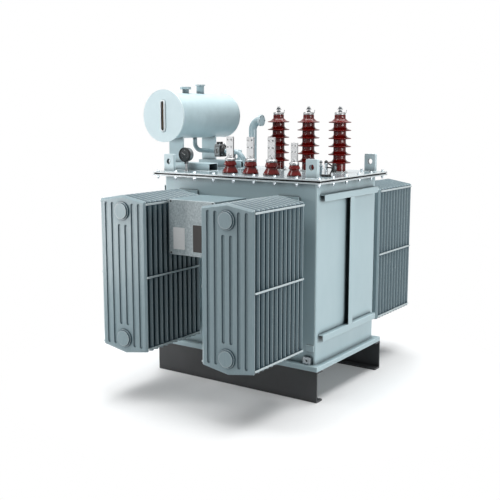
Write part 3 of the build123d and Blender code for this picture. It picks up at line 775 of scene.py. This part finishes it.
def blank_plate(x, z, width, height):
    """A builder for one plate with four rivets, at a place on the box front given from its middle."""

    def build(bm):
        place = facing(BOX_X + x * MM, BOX_FACE, BOX_Z + z * MM, FRONT)
        slab(bm, place, width, height, PLATE_THICK, PLATE_CORNER, PLATE_CHAMFER)
        for side, level in CORNERS:
            rivet = shifted(
                place, side * (width / 2 - RIVET_INSET), level * (height / 2 - RIVET_INSET), PLATE_THICK
            )
            lathe(bm, [(0, 0), (2.4, 0), (1.8, 1.0), (0, 1.4)], rivet, 16)

    return build


pale_blank = blank_plate(x=-108, z=-75, width=100, height=150)
dark_blank = blank_plate(x=92, z=-66, width=160, height=182)
new_piece("cable_box_lid", box_lid, lid_enamel, "box_paint", "cable_box_front")
new_piece("cable_box_screws", box_screws, oiled_steel, "black_metal")
new_piece("pale_blank_plate", pale_blank, pale_plate, "gauge_frame")
new_piece("dark_blank_plate", dark_blank, dark_plate, "black_metal")


# Oil gauge: a pale round-ended frame round a dark glass slot
gauge_low, gauge_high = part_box("oil_gauge")
GAUGE_WIDTH = span(gauge_low, gauge_high, X)
GAUGE_HEIGHT = span(gauge_low, gauge_high, Z)
GAUGE_DEPTH = span(gauge_low, gauge_high, Y)
GAUGE_BACK = facing(
    middle(gauge_low, gauge_high, X), gauge_high[Y], middle(gauge_low, gauge_high, Z), FRONT
)
SLOT_WIDTH = 25
OIL_WIDTH = 5


def gauge_frame(bm):
    """The frame as a ring of round-ended outlines, stepped in towards the glass."""
    edge = (GAUGE_WIDTH - SLOT_WIDTH) / 2
    face = GAUGE_DEPTH
    rings = []
    for inset, level in ((0, 0), (0, face - 3), (3, face), (edge - 2, face), (edge, face - 5)):
        width = GAUGE_WIDTH - 2 * inset
        height = GAUGE_HEIGHT - 2 * inset
        outline = rounded_outline(width, height, width / 2 - 0.01, 10)
        rings.append(ring_at(bm, GAUGE_BACK, outline, level))
    skin(bm, rings)
    bm.faces.new(rings[0][::-1])


def gauge_column(bm):
    """The glass behind the slot."""
    height = GAUGE_HEIGHT - GAUGE_WIDTH + SLOT_WIDTH
    slab(bm, GAUGE_BACK, SLOT_WIDTH + 1, height + 1, GAUGE_DEPTH - 4, SLOT_WIDTH / 2)


def gauge_oil_column(bm):
    """The column of oil that shows down the middle of the glass."""
    slab(bm, GAUGE_BACK, OIL_WIDTH, GAUGE_HEIGHT - GAUGE_WIDTH, GAUGE_DEPTH - 3, 2.4)


new_piece("oil_gauge_frame", gauge_frame, gauge_lacquer, "gauge_frame", "oil_gauge")
new_piece("oil_gauge_glass", gauge_column, gauge_glass, "black_metal")
new_piece("oil_gauge_column", gauge_oil_column, gauge_oil, "black_metal")


# Dial thermometer: cast case, black bezel, card with marks and a pointer, and the neck below
dial_low, dial_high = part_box("dial_thermometer")
DIAL_X = middle(dial_low, dial_high, X)
DIAL_Y = middle(dial_low, dial_high, Y)
DIAL_RADIUS = span(dial_low, dial_high, X) / 2
DIAL_DEPTH = span(dial_low, dial_high, Y)
DIAL_Z = dial_high[Z] - DIAL_RADIUS * MM
DIAL_BACK = facing(DIAL_X, dial_high[Y], DIAL_Z, FRONT)
DIAL_FOOT = facing(DIAL_X, DIAL_Y, COVER_TOP)
DIAL_SEGMENTS = 64
BEZEL_WIDTH = 8
BEZEL_DEPTH = 15
CARD_DEPTH = 6
# The neck reaches this far into the case
NECK_OVERLAP = 6
NECK_HEIGHT = (DIAL_Z - COVER_TOP) / MM - DIAL_RADIUS + NECK_OVERLAP
MARK_COUNT = 11
MARK_FIRST_ANGLE = 225
MARK_ANGLE = 27
MARK_RADIUS = 32
POINTER_ANGLE = 150


def dial_case(bm):
    """The drum of the case, with a rounded back edge."""
    radius = DIAL_RADIUS - 3
    depth = DIAL_DEPTH - 14
    outline = [(0, 0), (radius - 5, 0), (radius - 1, 2), (radius, 6), (radius, depth), (0, depth)]
    lathe(bm, outline, DIAL_BACK, DIAL_SEGMENTS)


def dial_bezel(bm):
    """The dark rolled bezel round the card."""
    outer = DIAL_RADIUS
    inner = DIAL_RADIUS - BEZEL_WIDTH
    face = DIAL_DEPTH
    root = DIAL_DEPTH - BEZEL_DEPTH
    outside = [(inner, root), (outer - 2, root), (outer, root + 2), (outer, face - 3), (outer - 2, face)]
    inside = [(outer - 5, face), (inner, face - 4), (inner, root)]
    lathe(bm, outside + inside, DIAL_BACK, DIAL_SEGMENTS)


def dial_face(bm):
    """The card inside the bezel, with a shallow track under its marks."""
    radius = DIAL_RADIUS - 7
    back = DIAL_DEPTH - 9
    face = DIAL_DEPTH - CARD_DEPTH
    track = face - 0.6
    edge = [(0, back), (radius, back), (radius, face)]
    front = [(radius - 2, track), (radius - 14, track), (radius - 15, face), (0, face)]
    lathe(bm, edge + front, DIAL_BACK, DIAL_SEGMENTS)


def dial_neck(bm):
    """The pale pocket and stem that carry the case."""
    outline = [(0, 0), (18, 0), (18, 8), (15, 10), (9, 11), (9, NECK_HEIGHT), (0, NECK_HEIGHT)]
    lathe(bm, outline, DIAL_FOOT, 32)


def dial_nut(bm):
    """The dark union nut under the case."""
    hexagon(bm, DIAL_FOOT, across=30, height=20, base=NECK_HEIGHT - 22)


def dial_marks(bm):
    """Plain marks round the card and a pointer."""
    card = facing(DIAL_X, dial_low[Y] + CARD_DEPTH * MM, DIAL_Z, FRONT)
    for index in range(MARK_COUNT):
        angle = radians(MARK_FIRST_ANGLE - MARK_ANGLE * index)
        mark = shifted(card @ Matrix.Rotation(angle, 4, "Z"), MARK_RADIUS, 0, 0)
        length = 8 if index % 5 == 0 else 5
        slab(bm, mark, length, height=1.6, thickness=0.6, corner=0.3, chamfer=0.2)
    hand = shifted(card @ Matrix.Rotation(radians(POINTER_ANGLE), 4, "Z"), 12, 0, 1)
    slab(bm, hand, width=34, height=2.2, thickness=0.8, corner=0.6, chamfer=0.2)
    washer(bm, card, radius=4, height=2.4)


new_piece("thermometer_case", dial_case, cast_aluminium, "relay_alloy", "dial_thermometer")
new_piece("thermometer_bezel", dial_bezel, stove_black, "black_metal")
new_piece("thermometer_nut", dial_nut, oiled_steel, "black_metal")
new_piece("thermometer_face", dial_face, dial_card, "black_metal")
new_piece("thermometer_neck", dial_neck, tinned_copper, "gauge_frame")
new_piece("thermometer_marks", dial_marks, dial_print, "gauge_frame")


# Gas relay: a window in front and behind, a joint plate, lid bolts and coupling bolts
relay_low, relay_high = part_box("gas_relay")
COUPLING_RADIUS = 42
COUPLING_RIM = 5
COUPLING_BOLTS = 4
COUPLING_BOLT_CIRCLE = 0.035
LID_BOLT_X = 0.018
LID_BOLT_Y = 0.032
WINDOW_FRAME = 4
WINDOW_SCREW_X = 15
WINDOW_SCREW_Z = 26
RELAY_X = middle(relay_low, relay_high, X)
RELAY_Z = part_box("relay_pipe_upper")[0][Z] + COUPLING_RADIUS * MM
window_places = [
    facing(RELAY_X, y, RELAY_Z, way) for y, way in ((relay_low[Y], FRONT), (relay_high[Y], BACK))
]


def relay_window(bm):
    """A raised window frame with four screws, on the front and on the back of the relay."""
    for place in window_places:
        slab(bm, place, width=40, height=62, thickness=WINDOW_FRAME, corner=5)
        for side, level in CORNERS:
            screw = shifted(place, side * WINDOW_SCREW_X, level * WINDOW_SCREW_Z, WINDOW_FRAME)
            hexagon(bm, screw, across=6, height=3)


def relay_glass(bm):
    """The dark glass in each window frame."""
    for place in window_places:
        slab(bm, place, width=20, height=36, thickness=WINDOW_FRAME + 1, corner=4, chamfer=0.6)


def relay_end_plate(bm):
    """The black joint plate between the relay and the coupling on its right."""
    place = facing(relay_high[X], 0, RELAY_Z, RIGHT)
    slab(bm, place, width=82, height=86, thickness=COUPLING_RIM, corner=8)


def relay_bolts(bm):
    """Bolt heads round both couplings and on the lid corners."""
    rim = COUPLING_RIM * MM
    for x, way in ((relay_low[X] - rim, LEFT), (relay_high[X] + rim, RIGHT)):
        for y, rise in circle(COUPLING_BOLT_CIRCLE, COUPLING_BOLTS, 0.5):
            hexagon(bm, facing(x, y, RELAY_Z + rise, way), across=9, height=6)
    for side_x, side_y in CORNERS:
        place = facing(RELAY_X + side_x * LID_BOLT_X, side_y * LID_BOLT_Y, relay_high[Z])
        hexagon(bm, place, across=8, height=5)


new_piece("relay_window_frames", relay_window, relay_grey, "relay_alloy")
new_piece("relay_window_glass", relay_glass, gauge_glass, "black_metal")
new_piece("relay_end_plate", relay_end_plate, gasket_cork, "gasket_rubber")
new_piece("relay_bolts", relay_bolts, zinc_steel, "terminal_steel")


# Tap changer: star wheel with a bright hub, and the post and arms that carry it
wheel_low, wheel_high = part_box("tap_changer_wheel")
WHEEL_X = middle(wheel_low, wheel_high, X)
WHEEL_Y = middle(wheel_low, wheel_high, Y)
WHEEL_Z = middle(wheel_low, wheel_high, Z)
WHEEL_RADIUS = span(wheel_low, wheel_high, Z) / 2
WHEEL_LOBES = 6
WHEEL_POINTS = 72
# Half the depth of the hollows between the lobes, as a share of the radius
LOBE_SHARE = 0.13


def star_wheel(bm):
    """A cast star wheel: a lobed outline with rounded faces."""
    place = facing(WHEEL_X, WHEEL_Y, WHEEL_Z, RIGHT)
    rings = []
    for level, share in ((-6, 0.86), (-4.5, 0.96), (0, 1.0), (4.5, 0.96), (6, 0.86)):
        outline = []
        for index in range(WHEEL_POINTS):
            angle = tau * index / WHEEL_POINTS
            radius = WHEEL_RADIUS * share * (1 - LOBE_SHARE + LOBE_SHARE * cos(WHEEL_LOBES * angle))
            outline.append((radius * cos(angle), radius * sin(angle)))
        rings.append(ring_at(bm, place, outline, level))
    close_ends(bm, rings)
    skin(bm, rings)


def wheel_hub(bm):
    """The bright hub through the wheel and its nut."""
    place = facing(WHEEL_X, WHEEL_Y, WHEEL_Z, RIGHT)
    washer(bm, place, radius=12, height=2.5, base=6)
    hexagon(bm, place, across=15, height=6, base=8)
    washer(bm, facing(WHEEL_X, WHEEL_Y, WHEEL_Z, LEFT), radius=11, height=8)


new_piece("tap_star_wheel", star_wheel, stove_black, "black_metal", "tap_changer_wheel")
new_piece("tap_wheel_hub", wheel_hub, zinc_steel, "terminal_steel")

drive_low, drive_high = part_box("tap_changer_drive")
TAP_FLANGE_RADIUS = 42
TAP_POST_HEIGHT = 94
TAP_STEM_HEIGHT = 112
TAP_STEM_RADIUS = 7
ARM_RADIUS = 5
STAY_RADIUS = 4
TAP_X = drive_low[X] + TAP_FLANGE_RADIUS * MM
TAP_Y = middle(drive_low, drive_high, Y)
TAP_FOOT = facing(TAP_X, TAP_Y, COVER_TOP)


def tap_post(bm):
    """The pale turned post that houses the drive shaft, with a collar at its head."""
    top = TAP_POST_HEIGHT
    outline = [(0, 0), (30, 0), (30, 8), (12, 13), (11, 16), (11, 84), (14, 86), (14, top), (0, top)]
    lathe(bm, outline, TAP_FOOT, 40)


def tap_dark_parts(bm):
    """Dark foot ring, stem and head nut, and the arm, shaft and stay that carry the wheel."""
    foot_ring = [(28, 0), (36, 0), (37, 2), (37, 10), (35, 13), (28, 13), (28, 0)]
    lathe(bm, foot_ring, TAP_FOOT)
    hexagon(bm, TAP_FOOT, across=26, height=13, base=TAP_POST_HEIGHT)
    washer(bm, TAP_FOOT, TAP_STEM_RADIUS, TAP_STEM_HEIGHT)
    # Places along X and Z, in metres
    hub = WHEEL_X - 8 * MM
    head = COVER_TOP + 92 * MM
    arm = [(TAP_X + 0.010, head), (TAP_X + 0.030, WHEEL_Z + 0.022), (hub, WHEEL_Z + 0.004)]
    shaft = [(TAP_X + 0.010, WHEEL_Z), (TAP_X + 0.030, WHEEL_Z), (hub, WHEEL_Z)]
    stay = [(TAP_X + 0.030, COVER_TOP + 0.012), (hub - 0.012, WHEEL_Z - 0.020), (hub, WHEEL_Z)]
    for line, radius in ((arm, ARM_RADIUS), (shaft, ARM_RADIUS), (stay, STAY_RADIUS)):
        tube(bm, [(x, TAP_Y, z) for x, z in line], radius)


new_piece("tap_changer_post", tap_post, zinc_steel, "terminal_steel", "tap_changer_drive")
new_piece("tap_changer_arms", tap_dark_parts, stove_black, "black_metal")

plug_low, plug_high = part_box("bleed_plug")
PLUG_HEIGHT = (plug_high[Z] - COVER_TOP) / MM


def plug_nuts(bm):
    """Two dark nuts near the head of the bleed plug."""
    place = facing(middle(plug_low, plug_high, X), middle(plug_low, plug_high, Y), COVER_TOP)
    hexagon(bm, place, across=24, height=10, base=PLUG_HEIGHT - 44)
    hexagon(bm, place, across=22, height=9, base=PLUG_HEIGHT - 16)


new_piece("bleed_plug_nuts", plug_nuts, stove_black, "black_metal")


# Flange bolts of the radiator headers and of the vent
pad_low, pad_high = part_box("radiator_pads")
header_low, header_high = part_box("radiator_headers")
HEADER_FLANGE_RADIUS = 75
HEADER_FLANGE_THICK = 16
HEADER_BOLTS = 6
HEADER_BOLT_CIRCLE = 0.060
header_spots = [
    (x, z)
    for x in (header_low[X] + HEADER_FLANGE_RADIUS * MM, header_high[X] - HEADER_FLANGE_RADIUS * MM)
    for z in (header_low[Z] + HEADER_FLANGE_RADIUS * MM, header_high[Z] - HEADER_FLANGE_RADIUS * MM)
]


def header_bolts(bm):
    """Six nuts on each header flange, on both sides of the tank."""
    thick = HEADER_FLANGE_THICK * MM
    for x, z in header_spots:
        for y, way in ((pad_low[Y] - thick, FRONT), (pad_high[Y] + thick, BACK)):
            for aside, rise in circle(HEADER_BOLT_CIRCLE, HEADER_BOLTS, 0.5):
                place = facing(x + aside, y, z + rise, way)
                nut_on_washer(bm, place, radius=11, thickness=2, across=18, height=10)
                washer(bm, place, radius=5, height=17)


new_piece("header_flange_bolts", header_bolts, zinc_steel, "terminal_steel")

vent_low, vent_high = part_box("relief_vent_plate")
VENT_Y = middle(vent_low, vent_high, Y)
VENT_Z = middle(vent_low, vent_high, Z)
VENT_FLANGE_THICK = 8
VENT_BOLTS = 6
VENT_BOLT_CIRCLE = 0.0365


def vent_bolts(bm):
    """Six bolts through the plate of the relief vent, and nuts behind its flange."""
    back = vent_low[X] - VENT_FLANGE_THICK * MM
    for aside, rise in circle(VENT_BOLT_CIRCLE, VENT_BOLTS):
        y, z = VENT_Y + aside, VENT_Z + rise
        hexagon(bm, facing(vent_high[X], y, z, RIGHT), across=8, height=4)
        hexagon(bm, facing(back, y, z, LEFT), across=8, height=5)


new_piece("vent_plate_bolts", vent_bolts, zinc_steel, "terminal_steel")

# Weld beads where plates meet
BEAD = 3.5
LUG_BEAD = 4.5
BEAD_SIDES = 6
BEAD_PITCH = 0.012
DRUM_STEPS = 96
LUG_WIDTH = 88
LUG_THICK = 30
BEAM_WIDTH = 112


def both_ends(low, high, axis, size_mm):
    """The two stretches of this size at the ends of a CAD box, in metres."""
    size = size_mm * MM
    return (low[axis], low[axis] + size), (high[axis] - size, high[axis])


def bead_round(bm, x_low, x_high, y_low, y_high, radius):
    """A bead on the cover, round a rectangle in metres."""
    spots = ((x_low, y_low), (x_high, y_low), (x_high, y_high), (x_low, y_high))
    corners = [Vector((x, y, COVER_TOP)) for x, y in spots]
    points = []
    for start, end in zip(corners, corners[1:] + corners[:1]):
        count = max(1, round((end - start).length / BEAD_PITCH))
        points += [start.lerp(end, index / count) for index in range(count)]
    tube(bm, points, radius, BEAD_SIDES, True)


def weld_beads(bm):
    """Beads round the lugs, beams and drum ends."""
    lug_low, lug_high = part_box("lifting_lugs")
    for lug_x in both_ends(lug_low, lug_high, X, LUG_WIDTH):
        for lug_y in both_ends(lug_low, lug_high, Y, LUG_THICK):
            bead_round(bm, *lug_x, *lug_y, LUG_BEAD)
    beam_low, beam_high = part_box("conservator_beams")
    for beam_y in both_ends(beam_low, beam_high, Y, BEAM_WIDTH):
        bead_round(bm, max(beam_low[X], cover_low[X]), beam_high[X], *beam_y, BEAD)
    drum_low, drum_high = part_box("conservator_drum")
    drum_x = middle(drum_low, drum_high, X)
    drum_z = middle(drum_low, drum_high, Z)
    drum_radius = (drum_high[Z] - drum_low[Z]) / 2
    for y in (drum_low[Y], drum_high[Y]):
        ring = [(drum_x + aside, y, drum_z + rise) for aside, rise in circle(drum_radius, DRUM_STEPS)]
        tube(bm, ring, BEAD, BEAD_SIDES, True)


new_piece("weld_beads", weld_beads, drum_enamel, "cover_paint")


# Welded pad on the front wall: its place from the middle of the tank and from the floor
EARTH_PAD_X = 622
EARTH_PAD_Z = 366
WALL_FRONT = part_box("tank_wall_front")[0][Y]


def earth_pad(bm):
    """A plain pad with round corners, above the earth terminal."""
    place = facing(TANK_X + EARTH_PAD_X * MM, WALL_FRONT, EARTH_PAD_Z * MM, FRONT)
    slab(bm, place, width=62, height=46, thickness=8, corner=4, chamfer=1.5)


new_piece("earth_pad", earth_pad, tank_enamel, "tank_paint")

# Floor: pale, with the shadow kept near the object and white further out, in metres from its middle
FLOOR_RADIUS = 4.2
FLOOR_STEPS = 96
SHADOW_REACH = 1.3
WHITE_FROM = 1.95
# Grey of the light that the floor throws back on the transformer
FLOOR_BOUNCE = "A6AAAC"
WHITE = (1, 1, 1, 1)


def seen_rays(tree):
    """1 for camera, glossy and transmission rays, which show the background."""
    path = add(tree, "ShaderNodeLightPath").outputs
    seen = path["Is Camera Ray"]
    for kind in ("Is Glossy Ray", "Is Transmission Ray"):
        seen = add(tree, "ShaderNodeMath", {0: seen, 1: path[kind]}, operation="MAXIMUM").outputs["Value"]
    return seen


def white_floor():
    """Matt studio paper: it takes the shadow, and fades to the white of the background."""
    material, tree, shader = new_material("white_studio_paper", Roughness=0.9, Specular_IOR_Level=0.1)
    place = add(tree, "ShaderNodeTexCoord").outputs["Object"]
    # The tooth of paper is too fine to show, so it is drawn as a faint mottle
    tooth = add(tree, "ShaderNodeTexNoise", {"Vector": place, "Scale": per_metre(30), "Detail": 2.0})
    seen = seen_rays(tree)
    paper = lay_over(tree, linear("F1F2F3"), linear("F4F5F5"), tooth.outputs["Fac"])
    shown = lay_over(tree, linear(FLOOR_BOUNCE), paper, seen)
    tree.links.new(shown, shader.inputs["Base Color"])
    away = add(tree, "ShaderNodeVectorMath", {"Vector": place}, operation="LENGTH").outputs["Value"]
    fade = add(
        tree,
        "ShaderNodeMapRange",
        {"Value": away, "From Min": SHADOW_REACH, "From Max": WHITE_FROM},
        interpolation_type="SMOOTHSTEP",
    )
    share = add(tree, "ShaderNodeMath", {0: fade.outputs["Result"], 1: seen}, operation="MULTIPLY")
    glow = add(tree, "ShaderNodeEmission", {"Color": WHITE, "Strength": 1.0})
    joined = add(
        tree,
        "ShaderNodeMixShader",
        {0: share.outputs["Value"], 1: shader.outputs["BSDF"], 2: glow.outputs["Emission"]},
    )
    tree.links.new(joined.outputs["Shader"], tree.nodes["Material Output"].inputs["Surface"])
    return material


floor_edge = [(x, y, 0) for x, y in circle(FLOOR_RADIUS, FLOOR_STEPS)]
floor_mesh = bpy.data.meshes.new("studio_floor")
floor_mesh.from_pydata(floor_edge, [], [tuple(range(FLOOR_STEPS))])
floor_mesh.materials.append(white_floor())
floor = bpy.data.objects.new("studio_floor", floor_mesh)
bpy.context.scene.collection.objects.link(floor)

# World: white to the camera, a softer grey as light
AMBIENT = 0.09
world = bpy.data.worlds.new("studio_air")
world.use_nodes = True
bpy.context.scene.world = world
air = world.node_tree
strength = add(air, "ShaderNodeMapRange", {"Value": seen_rays(air), "To Min": AMBIENT, "To Max": 1.0})
backdrop = air.nodes["Background"]
backdrop.inputs["Color"].default_value = WHITE
air.links.new(strength.outputs["Result"], backdrop.inputs["Strength"])


def softbox(name, place, target, size, watts):
    """One large soft lamp that looks at a point."""
    lamp = bpy.data.lights.new(name, "AREA")
    lamp.shape = "RECTANGLE"
    lamp.size, lamp.size_y = size
    lamp.energy = watts
    box = bpy.data.objects.new(name, lamp)
    bpy.context.scene.collection.objects.link(box)
    box.location = place
    box.rotation_euler = (Vector(target) - Vector(place)).to_track_quat("-Z", "Y").to_euler()


# The main lamp lights the right end, four fill the front and the left, and four panels hang over all
softbox("right_softbox", (4.6, -0.6, 1.7), (0.7, 0.0, 1.1), size=(2.4, 0.9), watts=87)
softbox("front_softbox", (-1.5, -5.8, 1.9), (0.1, 0.0, 1.3), size=(1.6, 0.6), watts=30)
softbox("front_left_softbox", (-2.2, -2.7, 0.95), (-0.3, -1.15, 0.9), size=(0.9, 1.2), watts=22)
softbox("high_front_softbox", (-0.9, -1.9, 3.4), (-0.2, -0.4, 1.8), size=(0.9, 0.9), watts=21)
softbox("left_softbox", (-4.2, -1.1, 2.4), (-0.6, -0.9, 0.0), size=(1.5, 1.5), watts=50)
PANEL_HEIGHT = 13.0
for row, y in (("front", 0.2), ("back", 6.6)):
    for side, x in (("left", -3.2), ("right", 2.6)):
        name = "top_%s_%s_softbox" % (row, side)
        softbox(name, (x, y, PANEL_HEIGHT), (x, y, 0.0), size=(5.2, 5.2), watts=640)

# Camera at the photograph's place: heading, tilt and lens found from the straight edges of the tank
CAMERA_PLACE = (TANK_X + 3.4375, -5.2911, 1.988)
CAMERA_TILT = 8.85
CAMERA_HEADING = 34.69
camera = bpy.data.cameras.new("photo_camera")
camera.lens = 59.83
camera.sensor_width = 36
camera.shift_x = 0.0082
camera.shift_y = -0.0169
viewer = bpy.data.objects.new("photo_camera", camera)
bpy.context.scene.collection.objects.link(viewer)
viewer.location = CAMERA_PLACE
viewer.rotation_euler = (radians(90 - CAMERA_TILT), 0, radians(CAMERA_HEADING))
bpy.context.scene.camera = viewer
bpy.context.scene.view_settings.view_transform = "Standard"
